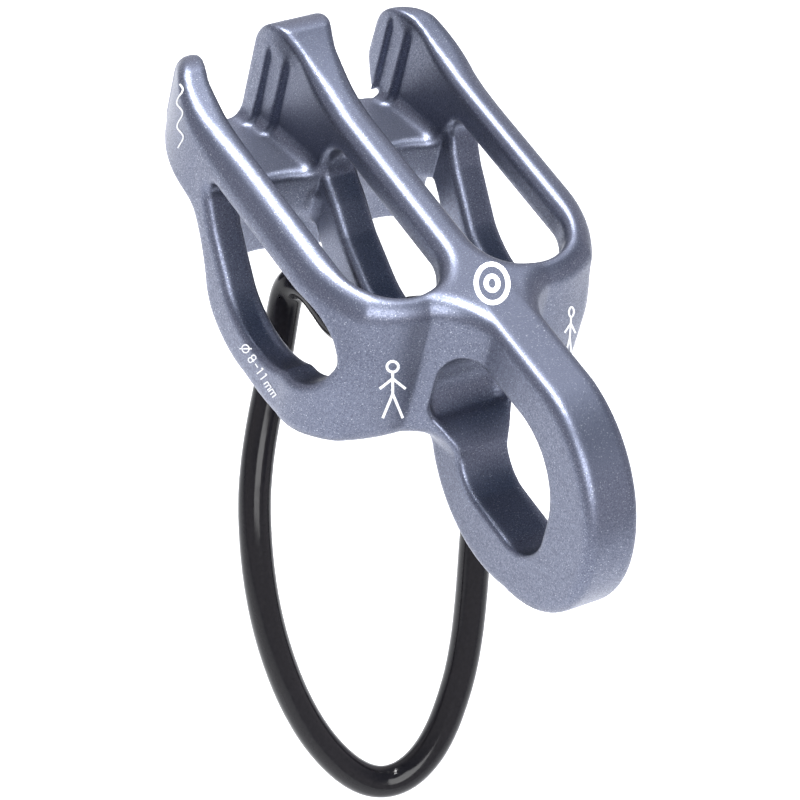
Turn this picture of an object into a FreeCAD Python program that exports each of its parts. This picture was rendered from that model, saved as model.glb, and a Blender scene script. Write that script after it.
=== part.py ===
"""Tube-style belay device: a forged two-slot body and a plastic-coated wire keeper loop.

Frame, in millimetres: X across the two rope slots, +Y to the grooved friction end, -Y to
the anchor eye, +Z up along the rope. The origin is the centre of the anchor eye, where the
device hangs from a carabiner.
"""
import FreeCAD, Part
import math
import os

import Sketcher

V = FreeCAD.Vector

os.makedirs("parts", exist_ok=True)
doc = FreeCAD.newDocument("belay_device")

# ---------------------------------------------------------------- driving dimensions
DIMENSIONS = [
    ("slot_pitch", 18.6, "middle of one rail to the middle of the next"),
    ("outer_wall", 5.0, "thickness of an outer side wall"),
    ("web_wall", 5.6, "thickness of the middle web"),
    ("deck_top", 22.0, "upper end of the forging blank"),
    ("deck_bottom", -11.0, "lower end of the forging blank"),
    ("eye_thickness", 7.8, "thickness of the anchor eye"),
    ("hole_cut", 18.0, "length of the cut that opens the anchor eye and its neck"),
    ("tooth_step", 0.75, "how far each grip tooth stands into the groove"),
    ("release_y", 54.5, "middle of the release eye, along Y"),
    ("release_z", -3.5, "middle of the release eye, along Z"),
    ("release_hole", 3.2, "radius of the release eye"),
    ("pivot_y", 31.0, "middle of the keeper's cross bore, along Y"),
    ("pivot_z", -5.8, "middle of the keeper's cross bore, along Z"),
    ("bore_radius", 2.06, "radius of the keeper's cross bore"),
    ("ferrule_radius", 2.0, "outer radius of the splice ferrule"),
    ("ferrule_length", 5.9, "length of the splice ferrule"),
    ("core_radius", 1.3, "radius of the room for the wire inside coating and ferrule"),
    ("cable_radius", 2.25, "outer radius of the keeper's plastic coating"),
    ("strand_radius", 0.42, "radius of one steel strand"),
    ("strand_circle", 0.86, "from the core strand to the middle of an outer strand"),
]
sheet = doc.addObject("Spreadsheet::Sheet", "Dims")
for row, (alias, value, note) in enumerate(DIMENSIONS, start=1):
    sheet.set(f"A{row}", str(value))
    sheet.setAlias(f"A{row}", alias)
    sheet.set(f"B{row}", note)
doc.recompute()


def dim(alias):
    """The value of one driving dimension."""
    return float(sheet.get(alias))


# ---------------------------------------------------------------- outlines
# Each outline is a closed chain in (y, z) or (x, y): its first point, then either
# the end of a straight side or the middle and the end of an arc.
SIDE_PROFILE = [
    (2.0, 16.8),
    [(46.5, 16.8)],
    [(54.0, 18.2), (60.3, 20.5)],
    [(64.3, 18.8), (65.8, 14.5)],
    [(65.8, 4.5)],
    [(64.9, 1.8), (62.3, 0.6)],
    [(52.0, 0.1)],
    [(47.4, -2.0), (44.0, -5.2)],
    [(38.5, -8.6), (31.0, -9.5)],
    [(24.0, -9.2), (16.5, -7.3)],
    [(10.0, -5.4)],
    [(2.0, -3.0)],
    [(2.0, 16.8)],
]
EYE_OUTLINE = [
    (16.0, 16.8),
    [(-5.0, 17.0)],
    [(-15.9, 12.2), (-21.5, -1.0)],
    [(-17.8, -10.8), (-8.5, -15.9)],
    [(3.0, -16.2), (11.9, -9.6)],
    [(16.0, -4.6)],
    [(16.0, 16.8)],
]
EYE_HOLE = [
    (13.4, 2.0),
    [(11.6, 7.6), (5.5, 10.0)],
    [(-1.5, 10.0)],
    [(-8.7, 7.7), (-12.1, 1.2)],
    [(-12.3, -2.4)],
    [(-10.5, -7.1), (-5.5, -9.0)],
    [(1.0, -9.0)],
    [(4.2, -7.7), (6.2, -5.2)],
    [(8.2, -3.5), (10.8, -2.6)],
    [(12.8, -0.7), (13.4, 2.0)],
]
OUTER_WINDOW = [
    (44.0, 11.8),
    [(22.5, 11.9)],
    [(18.2, 10.2), (16.1, 6.6)],
    [(17.0, 3.4), (23.4, -0.8)],
    [(31.2, -3.0), (38.0, -0.6)],
    [(43.7, 4.9)],
    [(46.3, 8.4)],
    [(46.2, 11.0), (44.0, 11.8)],
]
WEB_WINDOW = [
    (44.6, 12.6),
    [(22.0, 12.6)],
    [(18.0, 10.6), (16.4, 6.8)],
    [(17.4, 3.4), (23.6, -0.2)],
    [(29.6, -2.0), (35.0, -0.6)],
    [(39.9, 1.8)],
    [(43.6, 4.6)],
    [(46.6, 6.4)],
    [(47.2, 9.8), (44.6, 12.6)],
]
LIP_OUTLINE = [
    (52.5, 3.0),
    [(47.9, 3.0)],
    [(47.9, -6.4)],
    [(48.2, -7.4), (49.2, -7.7)],
    [(50.2, -7.0)],
    [(50.7, 0.6)],
    [(52.5, 3.0)],
]
LUG_OUTLINE = [
    (46.8, 1.2),
    [(48.8, -5.0)],
    [(54.5, -8.7), (60.2, -5.0)],
    [(62.0, 1.2)],
    [(46.8, 1.2)],
]
SIDES = ((-1, "left"), (1, "right"))
GROOVE_FLOOR_FRONT = (45.0, 6.6)
GROOVE_FLOOR_CREST = (50.0, 6.4)
GROOVE_FLOOR_BACK = (70.0, 1.4)
TOOTH_FRONTS = [45.0, 58.8, 62.0]
SLOT_FRONT_ARC = 22.2
SLOT_FRONT = 15.5
SLOT_BACK = 47.4
SLOT_BACK_MIDDLE = 49.0
BLANK_MARGIN = 12.0
GROOVE_ROOM_TOP = 30.0


# ---------------------------------------------------------------- helpers
def origin_plane(body, role):
    """One of a body's own origin planes, found by its role."""
    return next(o for o in body.Origin.OriginFeatures if o.Role == role)


def new_body(label):
    """A PartDesign body whose label is its node name."""
    body = doc.addObject("PartDesign::Body", label)
    body.Label = label
    return body


def new_sketch(body, name, role, offset=0.0):
    """A sketch on a body's origin plane, moved along the plane's normal."""
    sketch = body.newObject("Sketcher::SketchObject", name)
    sketch.AttachmentSupport = [(origin_plane(body, role), "")]
    sketch.MapMode = "FlatFace"
    sketch.AttachmentOffset = FreeCAD.Placement(V(0, 0, offset), FreeCAD.Rotation())
    return sketch


def draw(sketch, outline):
    """Draw a closed chain of straight sides and arcs, joined end to end."""
    here = V(*outline[0], 0)
    for side in outline[1:]:
        end = V(*side[-1], 0)
        if len(side) == 1:
            sketch.addGeometry(Part.LineSegment(here, end), False)
        else:
            sketch.addGeometry(Part.Arc(here, V(*side[0], 0), end), False)
        here = end


def bound_circle(sketch, y_alias, z_alias, radius_alias):
    """A circle whose centre and radius follow cells of the sheet."""
    y, z, radius = dim(y_alias), dim(z_alias), dim(radius_alias)
    circle = sketch.addGeometry(Part.Circle(V(y, z, 0), V(0, 0, 1), radius), False)
    for kind, value, alias in (("DistanceX", y, y_alias), ("DistanceY", z, z_alias)):
        bind(sketch, Sketcher.Constraint(kind, -1, 1, circle, 3, value), alias)
    bind(sketch, Sketcher.Constraint("Radius", circle, radius), radius_alias)


def bind(sketch, constraint, alias):
    """Add a sketch constraint whose value is a cell of the sheet."""
    index = sketch.addConstraint(constraint)
    sketch.setExpression(f"Constraints[{index}]", f"Dims.{alias}")


def feature(body, kind, name, sketch, length, symmetric=True, reversed_side=False):
    """A Pad or Pocket of a sketch; length is an expression on the sheet."""
    made = body.newObject(f"PartDesign::{kind}", name)
    made.Profile = sketch
    made.Midplane = symmetric
    made.Reversed = reversed_side
    made.setExpression("Length", length)
    sketch.Visibility = False
    doc.recompute()
    return made


def mirrored(outline):
    """The same chain on the other side of the Y axis of an (x, y) sketch."""
    flipped = [(-outline[0][0], outline[0][1])]
    for side in outline[1:]:
        flipped.append([(-x, y) for x, y in side])
    return flipped


# ---------------------------------------------------------------- forged body
def plan_outline():
    """Half of the body seen from above: neck, round shoulder, straight flank, rear end."""
    half = dim("slot_pitch") + dim("outer_wall") / 2
    neck = dim("eye_thickness") / 2
    return [
        (0.0, 3.0),
        [(neck, 3.0)],
        [(5.0, 8.8), (9.0, 12.0)],
        [(13.4, 12.4), (17.4, 13.4)],
        [(20.3, 16.4), (half, 22.0)],
        [(half, 50.0)],
        [(half - 0.8, 57.5), (half - 3.3, 62.6)],
        [(half - 4.4, 64.5), (half - 6.2, 65.8)],
        [(0.0, 65.8)],
    ]


def slot_half():
    """Half the width of one rope slot."""
    return (dim("slot_pitch") - dim("outer_wall") / 2 - dim("web_wall") / 2) / 2


def slot_middle(side):
    """Place of a slot's middle along X; side is -1 or 1."""
    return side * (dim("web_wall") / 2 + slot_half())


def slot_outline(side):
    """One rope slot seen from above, with a round front end and a hollow back end."""
    middle, half = slot_middle(side), slot_half()
    return [
        (middle - half, SLOT_BACK),
        [(middle - half, SLOT_FRONT_ARC)],
        [(middle, SLOT_FRONT), (middle + half, SLOT_FRONT_ARC)],
        [(middle + half, SLOT_BACK)],
        [(middle, SLOT_BACK_MIDDLE), (middle - half, SLOT_BACK)],
    ]


def groove_floor(y):
    """Height of the groove's floor at a place along Y."""
    (y0, z0), (y1, z1) = GROOVE_FLOOR_CREST, GROOVE_FLOOR_BACK
    if y <= y0:
        y1, z1 = GROOVE_FLOOR_FRONT
    return z0 + (z1 - z0) * (y - y0) / (y1 - y0)


def groove_outline(front):
    """Side view of the room over the groove's floor, from one tooth's front backwards."""
    top = GROOVE_ROOM_TOP
    outline = [(front, top), [(front, groove_floor(front))]]
    if front < GROOVE_FLOOR_CREST[0]:
        outline.append([GROOVE_FLOOR_CREST])
    return outline + [[GROOVE_FLOOR_BACK], [(GROOVE_FLOOR_BACK[0], top)], [(front, top)]]


def add_blank(body):
    """The blank: the plan outline raised to full height, then cut to the side profile."""
    plan = new_sketch(body, "plan_outline", "XY_Plane")
    plan.setExpression(".AttachmentOffset.Base.z", "Dims.deck_bottom")
    right = plan_outline()
    draw(plan, right)
    draw(plan, mirrored(right))
    feature(body, "Pad", "blank", plan, "Dims.deck_top - Dims.deck_bottom",
            symmetric=False)

    trim = new_sketch(body, "side_profile", "YZ_Plane")
    draw(trim, SIDE_PROFILE)
    draw(trim, frame_outline(SIDE_PROFILE, BLANK_MARGIN))
    feature(body, "Pocket", "side_cut", trim, "4 * Dims.slot_pitch")


def frame_outline(outline, margin):
    """A rectangle that stands clear of an outline on every side."""
    ends = [outline[0]] + [side[-1] for side in outline[1:]]
    low = [min(p[i] for p in ends) - margin for i in (0, 1)]
    high = [max(p[i] for p in ends) + margin for i in (0, 1)]
    return [(low[0], low[1]), [(high[0], low[1])], [(high[0], high[1])],
            [(low[0], high[1])], [(low[0], low[1])]]


def add_eye(body):
    """The anchor eye and its flared neck."""
    eye = new_sketch(body, "eye_outline", "YZ_Plane")
    draw(eye, EYE_OUTLINE)
    feature(body, "Pad", "anchor_eye", eye, "Dims.eye_thickness")
    hole = new_sketch(body, "eye_hole", "YZ_Plane")
    draw(hole, EYE_HOLE)
    feature(body, "Pocket", "anchor_hole", hole, "Dims.hole_cut")


def add_slots(body):
    """The two rope slots and, behind them, the stepped grooves between the walls."""
    for side, name in SIDES:
        slot = new_sketch(body, f"{name}_slot_outline", "XY_Plane")
        draw(slot, slot_outline(side))
        feature(body, "Pocket", f"{name}_rope_slot", slot, "4 * Dims.deck_top")
        for step, front in enumerate(TOOTH_FRONTS):
            groove = new_sketch(body, f"{name}_groove_outline_{step}", "YZ_Plane",
                                slot_middle(side))
            draw(groove, groove_outline(front))
            width = (f"Dims.slot_pitch - Dims.outer_wall / 2 - Dims.web_wall / 2"
                     f" - {2 * step} * Dims.tooth_step")
            feature(body, "Pocket", f"{name}_groove_{step}", groove, width)


def add_cross_member(body):
    """The thick lower lip under the grooves, from wall to wall."""
    lip = new_sketch(body, "lip_outline", "YZ_Plane")
    draw(lip, LIP_OUTLINE)
    feature(body, "Pad", "lip", lip, "2 * Dims.slot_pitch - Dims.outer_wall + 2")


def add_windows(body):
    """A window in each outer wall and one in the web."""
    for side, name in SIDES:
        outer = new_sketch(body, f"{name}_window_outline", "YZ_Plane",
                           side * dim("slot_pitch"))
        draw(outer, OUTER_WINDOW)
        feature(body, "Pocket", f"{name}_window", outer, "Dims.outer_wall + 2")
    web = new_sketch(body, "web_window_outline", "YZ_Plane")
    draw(web, WEB_WINDOW)
    feature(body, "Pocket", "web_window", web, "Dims.web_wall + 2")


def add_web_holes(body):
    """The release lug with its eye, and the cross bore that carries the keeper."""
    lug = new_sketch(body, "lug_outline", "YZ_Plane")
    draw(lug, LUG_OUTLINE)
    feature(body, "Pad", "release_lug", lug, "Dims.web_wall")
    release = new_sketch(body, "release_outline", "YZ_Plane")
    bound_circle(release, "release_y", "release_z", "release_hole")
    feature(body, "Pocket", "release_eye", release, "Dims.web_wall + 2")
    bore = new_sketch(body, "bore_outline", "YZ_Plane")
    bound_circle(bore, "pivot_y", "pivot_z", "bore_radius")
    feature(body, "Pocket", "keeper_bore", bore, "Dims.web_wall + 2")


def make_forged_body():
    """The one-piece aluminium forging, built as a blank that is cut back."""
    body = new_body("forged_body")
    add_blank(body)
    add_eye(body)
    add_slots(body)
    add_cross_member(body)
    add_windows(body)
    add_web_holes(body)
    return body


# ---------------------------------------------------------------- keeper loop
# The keeper's route at rest, by hand, from the middle of the cross bore. It leaves the web
# on one side, hangs forward below the body and comes back on the other side.
KEEPER_ROUTE = [
    (-3.2, 0.0, 0.0), (-5.2, 0.0, 0.0), (-6.9, 1.0, 0.8), (-7.8, 3.2, 2.6),
    (-8.5, 5.8, 3.6), (-9.1, 8.0, 2.9), (-9.5, 9.1, 0.9), (-10.0, 8.7, -1.6),
    (-11.2, 6.6, -6.0), (-12.7, 4.3, -9.9), (-14.2, 2.3, -13.5), (-15.6, 0.2, -16.9),
    (-16.9, -2.0, -19.8), (-18.0, -4.5, -23.4), (-18.8, -7.7, -27.7),
    (-19.1, -10.8, -32.2), (-18.8, -13.9, -37.1), (-17.9, -17.2, -42.2),
    (-16.3, -20.6, -47.5), (-13.7, -24.5, -52.9), (-9.9, -28.2, -57.3),
    (-5.9, -30.4, -59.2), (-1.6, -31.1, -58.1), (2.6, -30.0, -54.0),
    (6.2, -26.9, -47.1), (8.0, -24.1, -41.4), (9.1, -21.4, -36.0),
    (10.2, -17.9, -29.0), (11.6, -14.0, -21.4), (12.0, -11.2, -15.7),
    (12.0, -8.8, -10.4), (11.5, -6.2, -5.8), (9.9, -3.3, -2.1), (7.4, -1.0, -0.5),
    (4.8, 0.0, 0.0), (3.2, 0.0, 0.0),
]
# The share of the shorter neighbouring run that a corner's arc takes up.
ARC_SHARE = 0.45
# Half the gap between a strand's two ends, inside the ferrule.
STRAND_GAP = 0.05
OUTER_STRANDS = 6


def bend(before, corner, after):
    """Where a route's corner is rounded: start, middle and end of its arc, its radius,
    and the turns from the run before it to the arc's middle and to the run after it."""
    come = (corner - before).normalize()
    leave = (after - corner).normalize()
    turn = come.getAngle(leave)
    shorter = min((corner - before).Length, (after - corner).Length)
    radius = ARC_SHARE * shorter / math.tan(turn / 2)
    start = corner - come * (ARC_SHARE * shorter)
    end = corner + leave * (ARC_SHARE * shorter)
    inward = (leave - come).normalize()
    middle = corner + inward * (radius / math.cos(turn / 2) - radius)
    turns = [FreeCAD.Rotation(come, come + leave), FreeCAD.Rotation(come, leave)]
    return (start, middle, end), radius, turns


def route_wire(points, offset=V(0, 0, 0)):
    """Straight runs joined by tangent arcs, moved off the route by an offset that turns
    along with it."""
    corners = [V(*point) for point in points]
    edges, radii = [], []
    here = corners[0] + offset
    for before, corner, after in zip(corners, corners[1:], corners[2:]):
        (start, middle, end), radius, (half_turn, turn) = bend(before, corner, after)
        start = start + offset
        middle = middle + half_turn.multVec(offset)
        offset = turn.multVec(offset)
        edges.append(Part.LineSegment(here, start).toShape())
        here = end + offset
        edges.append(Part.Arc(start, middle, here).toShape())
        radii.append(radius)
    edges.append(Part.LineSegment(here, corners[-1] + offset).toShape())
    return Part.Wire(edges), radii


def rod_solid(wire, radius):
    """A round rod of one radius along a wire."""
    start = wire.OrderedVertexes[0].Point
    heading = wire.OrderedEdges[0].tangentAt(wire.OrderedEdges[0].FirstParameter)
    section = Part.Wire(Part.Circle(start, heading, radius).toShape())
    solid = wire.makePipeShell([section], True, False)
    ideal = math.pi * radius ** 2 * wire.Length
    print(f"rod r={radius:.2f} length={wire.Length:.2f} volume/ideal={solid.Volume / ideal:.4f}")
    return solid


def add_cord(label, shape):
    """One piece of the loop as a Part::Feature, placed on the middle of the cross bore."""
    made = doc.addObject("Part::Feature", label)
    made.Label = label
    made.Shape = shape
    made.Placement = FreeCAD.Placement(V(0, dim("pivot_y"), dim("pivot_z")),
                                       FreeCAD.Rotation())
    return made


def make_keeper():
    """The coated wire loop: coating, core strand, outer strands and splice ferrule."""
    wire, radii = route_wire(KEEPER_ROUTE)
    print("keeper radii", [round(r, 1) for r in radii], "length", round(wire.Length, 1))
    coating = rod_solid(wire, dim("cable_radius")).cut(rod_solid(wire, dim("core_radius")))
    loop_pieces = [add_cord("keeper_coating", coating)]

    # The steel strands run on through the ferrule and meet at the middle of the web.
    inner_route = [(-STRAND_GAP, 0.0, 0.0)] + KEEPER_ROUTE[1:-1] + [(STRAND_GAP, 0.0, 0.0)]
    core, _ = route_wire(inner_route)
    loop_pieces.append(add_cord("core_strand", rod_solid(core, dim("strand_radius"))))
    for number in range(OUTER_STRANDS):
        angle = 2 * math.pi * number / OUTER_STRANDS
        offset = V(0, math.cos(angle), math.sin(angle)) * dim("strand_circle")
        strand, _ = route_wire(inner_route, offset)
        loop_pieces.append(add_cord(f"outer_strand_{number + 1}",
                                    rod_solid(strand, dim("strand_radius"))))

    ferrule = new_body("splice_ferrule")
    ring = new_sketch(ferrule, "ferrule_section", "YZ_Plane")
    bound_circle(ring, "pivot_y", "pivot_z", "ferrule_radius")
    bound_circle(ring, "pivot_y", "pivot_z", "core_radius")
    feature(ferrule, "Pad", "ferrule_sleeve", ring, "Dims.ferrule_length")
    return loop_pieces + [ferrule]


# ---------------------------------------------------------------- build, test, write
def check_document():
    """Stop if any object failed to recompute."""
    for made in doc.Objects:
        if "Invalid" in made.State or "Error" in made.State:
            raise RuntimeError(f"{made.Name} is {made.State}")


def write_step(piece):
    """Test one sub-part's shape and write its STEP file."""
    shape = piece.Shape
    if shape.isNull() or not shape.isValid():
        raise RuntimeError(f"{piece.Label} has no valid shape")
    shape.exportStep(f"parts/{piece.Label}.step")
    box = shape.BoundBox
    print(f"{piece.Label}: {len(shape.Solids)} solid, {shape.Volume:.1f} mm3, "
          f"x {box.XMin:.1f}..{box.XMax:.1f} y {box.YMin:.1f}..{box.YMax:.1f} "
          f"z {box.ZMin:.1f}..{box.ZMax:.1f}")


pieces = [make_forged_body()] + make_keeper()
doc.recompute()
check_document()
for piece in pieces:
    write_step(piece)
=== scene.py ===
"""A tube-style belay device with a coated wire keeper loop, dressed for its render.

Frame: X across the two rope slots, +Y to the grooved friction end, -Y to the anchor eye and
+Z up along the rope. Sizes in the classes are millimetres; a mesh is scaled to metres when
it is made.
"""
import itertools
import logging
import math
from dataclasses import dataclass, field
from enum import Enum
from typing import Dict, List, Mapping, Optional, Sequence, Tuple, Union

import bpy
import numpy as np
from mathutils import Matrix, Vector
from mathutils.bvhtree import BVHTree


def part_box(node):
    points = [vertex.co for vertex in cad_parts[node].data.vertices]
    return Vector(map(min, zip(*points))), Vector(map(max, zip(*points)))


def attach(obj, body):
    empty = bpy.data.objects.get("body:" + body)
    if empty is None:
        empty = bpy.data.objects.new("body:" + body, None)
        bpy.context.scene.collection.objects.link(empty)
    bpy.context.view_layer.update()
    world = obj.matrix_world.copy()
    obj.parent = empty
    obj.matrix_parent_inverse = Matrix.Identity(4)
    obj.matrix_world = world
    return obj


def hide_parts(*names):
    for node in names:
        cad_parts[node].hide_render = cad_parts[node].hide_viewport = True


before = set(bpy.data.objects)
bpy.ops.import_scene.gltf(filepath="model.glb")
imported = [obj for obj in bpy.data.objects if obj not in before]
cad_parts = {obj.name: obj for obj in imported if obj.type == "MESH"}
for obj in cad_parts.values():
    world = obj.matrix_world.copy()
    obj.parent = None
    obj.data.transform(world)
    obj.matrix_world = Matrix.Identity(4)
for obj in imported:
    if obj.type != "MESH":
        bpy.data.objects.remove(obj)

log = logging.getLogger("belay_device")
MILLIMETRE = 0.001
Point2 = Tuple[float, float]
Point3 = Tuple[float, float, float]
Colour = Tuple[float, float, float, float]
Field = Union[float, np.ndarray]
Sides = Tuple[Tuple[Point2, ...], ...]
SHARP = 0.05    # edge radius, in millimetres, that a forging's corner has where it looks sharp


class Body(Enum):
    """The two CAD bodies that pieces ride on."""

    DEVICE = "device"
    KEEPER = "keeper"


class Slot(Enum):
    """The record's material slots."""

    FORGING = "anodised_body"
    COATING = "black_coating"
    WIRE = "wire_strand"
    FERRULE = "ferrule_steel"


# ------------------------------------------------------------------ shader expressions
class Wire:
    """An output socket that can stand in a Python expression."""

    def __init__(self, bench: "Bench", output: bpy.types.NodeSocket) -> None:
        """Keep the socket and the bench whose tree it is in."""
        self.bench = bench
        self.output = output

    def _combine(self, operation: str, first: "Operand", second: "Operand") -> "Wire":
        """Add the node that an operator stands for.

        Args:
            operation: the operation's name on a Math, Vector Math or Mix node.
            first: left operand.
            second: right operand.

        Returns:
            The result's wire.
        """
        if self.output.type == "VECTOR":
            return self.bench.node("ShaderNodeVectorMath", {"operation": operation},
                                   {0: first, 1: second})
        if self.output.type == "RGBA":
            return self.bench.node("ShaderNodeMix",
                                   {"data_type": "RGBA", "blend_type": operation},
                                   {0: 1.0, 6: first, 7: second}, out=2)
        return self.bench.node("ShaderNodeMath", {"operation": operation},
                               {0: first, 1: second})

    def __add__(self, other: "Operand") -> "Wire":
        """Sum."""
        return self._combine("ADD", self, other)

    def __radd__(self, other: "Operand") -> "Wire":
        """Sum, reflected."""
        return self._combine("ADD", other, self)

    def __sub__(self, other: "Operand") -> "Wire":
        """Difference."""
        return self._combine("SUBTRACT", self, other)

    def __rsub__(self, other: "Operand") -> "Wire":
        """Difference, reflected."""
        return self._combine("SUBTRACT", other, self)

    def __mul__(self, other: "Operand") -> "Wire":
        """Product."""
        return self._combine("MULTIPLY", self, other)

    def __rmul__(self, other: "Operand") -> "Wire":
        """Product, reflected."""
        return self._combine("MULTIPLY", other, self)


Operand = Union[Wire, float, Sequence[float]]


class Bench:
    """Builds one material's node tree around its Principled shader."""

    def __init__(self, name: str) -> None:
        """Start a material.

        Args:
            name: the finish's name.
        """
        self.material = bpy.data.materials.new(name)
        self.material.use_nodes = True
        self.tree = self.material.node_tree
        self.shader = self.tree.nodes["Principled BSDF"]

    def node(self, kind: str, settings: Mapping[str, object],
             inputs: Mapping[Union[int, str], Operand], out: Union[int, str] = 0) -> Wire:
        """Add one node: its settings first, then the values or links of its sockets.

        Args:
            kind: the node's type.
            settings: its properties; "stops" gives a colour ramp's positions and colours.
            inputs: socket by index or name, and the value or wire it takes.
            out: which output to return.

        Returns:
            The chosen output's wire.
        """
        made = self.tree.nodes.new(kind)
        for key, value in settings.items():
            if key == "stops":
                self._set_stops(made.color_ramp, value)
            else:
                setattr(made, key, value)
        for key, value in inputs.items():
            self._feed(made.inputs[key], value)
        return Wire(self, made.outputs[out])

    @staticmethod
    def _set_stops(ramp: bpy.types.ColorRamp, stops: Sequence[Tuple[float, Colour]]) -> None:
        """Put a ramp's stops in place.

        Args:
            ramp: the ramp.
            stops: position and colour of each stop.
        """
        while len(ramp.elements) < len(stops):
            ramp.elements.new(0.5)
        for element, (position, colour) in zip(ramp.elements, stops):
            element.position = position
            element.color = colour

    def _feed(self, socket: bpy.types.NodeSocket, value: Operand) -> None:
        """Link a wire to a socket, or set the socket's own value.

        Args:
            socket: the input socket.
            value: the wire, or a number or colour that is the same all over.
        """
        if isinstance(value, Wire):
            self.tree.links.new(value.output, socket)
        elif hasattr(value, "__len__") or socket.type == "VALUE":
            socket.default_value = value
        elif socket.type == "VECTOR":
            socket.default_value = (value,) * 3
        else:
            socket.default_value = (value, value, value, 1.0)

    def set(self, **sockets: Operand) -> None:
        """Feed sockets of the Principled shader; base_color stands for Base Color.

        Args:
            sockets: the value or wire of each socket, by its name in lower case.
        """
        for key, value in sockets.items():
            label = key.replace("_", " ").title().replace("Ior", "IOR")
            self._feed(self.shader.inputs[label], value)

    def place(self) -> Wire:
        """The surface point in the object's own frame, in metres."""
        return self.node("ShaderNodeTexCoord", {}, {}, out="Object")

    def noise(self, where: Wire, size: float, detail: float = 2.0,
              roughness: float = 0.5) -> Wire:
        """A noise value from 0 to 1.

        Args:
            where: the point it is read at.
            size: size of its cells in millimetres.
            detail: octaves.
            roughness: share of each finer octave.

        Returns:
            The noise's wire.
        """
        return self.node("ShaderNodeTexNoise", {"noise_dimensions": "3D"},
                         {"Vector": where, "Scale": 1.0 / (size * MILLIMETRE),
                          "Detail": detail, "Roughness": roughness})

    def stretch(self, value: Wire, low: float, high: float, start: float = 0.0,
                end: float = 1.0) -> Wire:
        """Map low..high onto start..end and clamp.

        Args:
            value: the wire to map.
            low: value that becomes start.
            high: value that becomes end.
            start: result at low.
            end: result at high.

        Returns:
            The mapped wire.
        """
        return self.node("ShaderNodeMapRange", {"clamp": True},
                         {0: value, 1: low, 2: high, 3: start, 4: end})

    def blend(self, share: Operand, first: Operand, second: Operand) -> Wire:
        """A colour between first, at share 0, and second, at share 1."""
        return self.node("ShaderNodeMix", {"data_type": "RGBA"},
                         {0: share, 6: first, 7: second}, out=2)

    def bump(self, height: Wire, strength: float, depth: float,
             under: Optional[Wire] = None) -> Wire:
        """A normal from a height.

        Args:
            height: height from 0 to 1.
            strength: share of the effect.
            depth: height of 1 in millimetres.
            under: a normal that this one lies on.

        Returns:
            The normal's wire.
        """
        inputs: Dict[Union[int, str], Operand] = {
            "Strength": strength, "Distance": depth * MILLIMETRE, "Height": height}
        if under is not None:
            inputs["Normal"] = under
        return self.node("ShaderNodeBump", {}, inputs)


# ------------------------------------------------------------------ finishes
@dataclass(frozen=True)
class BlastedAnodising:
    """Bead-blasted, slate-blue anodised aluminium with a fine grain, and painted glints:
    near-white specks in the base colour that stand in for sparkle highlights.
    """

    dark: Colour = (0.080, 0.088, 0.125, 1.0)
    pale: Colour = (0.170, 0.186, 0.245, 1.0)
    # painted glint colour: near-white, the colour of sparkle highlights, not of the anodising
    painted_glint: Colour = (0.86, 0.90, 0.97, 1.0)
    grain: float = 0.20
    grain_depth: float = 0.012
    roughness: Tuple[float, float] = (0.36, 0.50)

    def material(self) -> bpy.types.Material:
        """Make the finish.

        Returns:
            The material.
        """
        bench = Bench("blasted_anodising")
        where = bench.place()
        grain = bench.noise(where, self.grain, 1.0, 0.6)
        painted_glint_noise = bench.noise(where + (0.013, 0.007, 0.019), self.grain * 0.8, 0.0)
        cloud = bench.noise(where, 9.0, 3.0)
        share = bench.stretch(grain, 0.3, 0.7) * 0.75 + cloud * 0.25
        # painted glint: in sparse specks the base colour turns towards near-white, standing in
        # for sparkle highlights on the grain
        painted_glint = bench.stretch(painted_glint_noise, 0.70, 0.82, 0.0, 0.3)
        skin = bench.blend(share, self.dark, self.pale)
        low, high = self.roughness
        bench.set(base_color=bench.blend(painted_glint, skin, self.painted_glint), metallic=1.0,
                  roughness=bench.stretch(grain, 0.3, 0.7, high, low),
                  normal=bench.bump(grain, 1.0, self.grain_depth))
        return bench.material


@dataclass(frozen=True)
class GlossyCoating:
    """Extruded black plastic with a hard gloss and faint long ripples."""

    shade: Colour = (0.004, 0.004, 0.005, 1.0)
    bloom: Colour = (0.011, 0.010, 0.012, 1.0)
    ripple: float = 6.0

    def material(self) -> bpy.types.Material:
        """Make the finish.

        Returns:
            The material.
        """
        bench = Bench("glossy_coating")
        where = bench.place()
        ripple = bench.noise(where, self.ripple, 2.0)
        haze = bench.noise(where, 0.5, 2.0)
        normal = bench.bump(haze, 0.25, 0.01, bench.bump(ripple, 0.5, 0.12))
        bench.set(base_color=bench.blend(haze, self.shade, self.bloom), metallic=0.0,
                  roughness=bench.stretch(haze, 0.3, 0.7, 0.10, 0.18),
                  specular_ior_level=0.2, normal=normal)
        return bench.material


@dataclass(frozen=True)
class DrawnSteel:
    """Drawn or swaged steel with fine scuffs."""

    name: str
    shade: Colour = (0.46, 0.46, 0.47, 1.0)
    scuff: Colour = (0.66, 0.66, 0.66, 1.0)
    scuff_size: float = 0.35

    def material(self) -> bpy.types.Material:
        """Make the finish.

        Returns:
            The material.
        """
        bench = Bench(self.name)
        where = bench.place()
        scuff = bench.noise(where, self.scuff_size, 4.0, 0.6)
        bench.set(base_color=bench.blend(scuff, self.shade, self.scuff), metallic=1.0,
                  roughness=bench.stretch(scuff, 0.3, 0.7, 0.26, 0.46),
                  normal=bench.bump(scuff, 0.6, 0.02))
        return bench.material


@dataclass(frozen=True)
class LaserMark:
    """Pale frosted marking burnt through the anodising."""

    shade: Colour = (0.80, 0.81, 0.82, 1.0)
    worn: Colour = (0.64, 0.65, 0.68, 1.0)

    def material(self) -> bpy.types.Material:
        """Make the finish.

        Returns:
            The material.
        """
        bench = Bench("laser_mark")
        where = bench.place()
        grain = bench.noise(where, 0.22, 2.0)
        bench.set(base_color=bench.blend(bench.stretch(grain, 0.35, 0.6), self.worn,
                                         self.shade),
                  roughness=0.7, normal=bench.bump(grain, 0.5, 0.01))
        return bench.material


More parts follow.
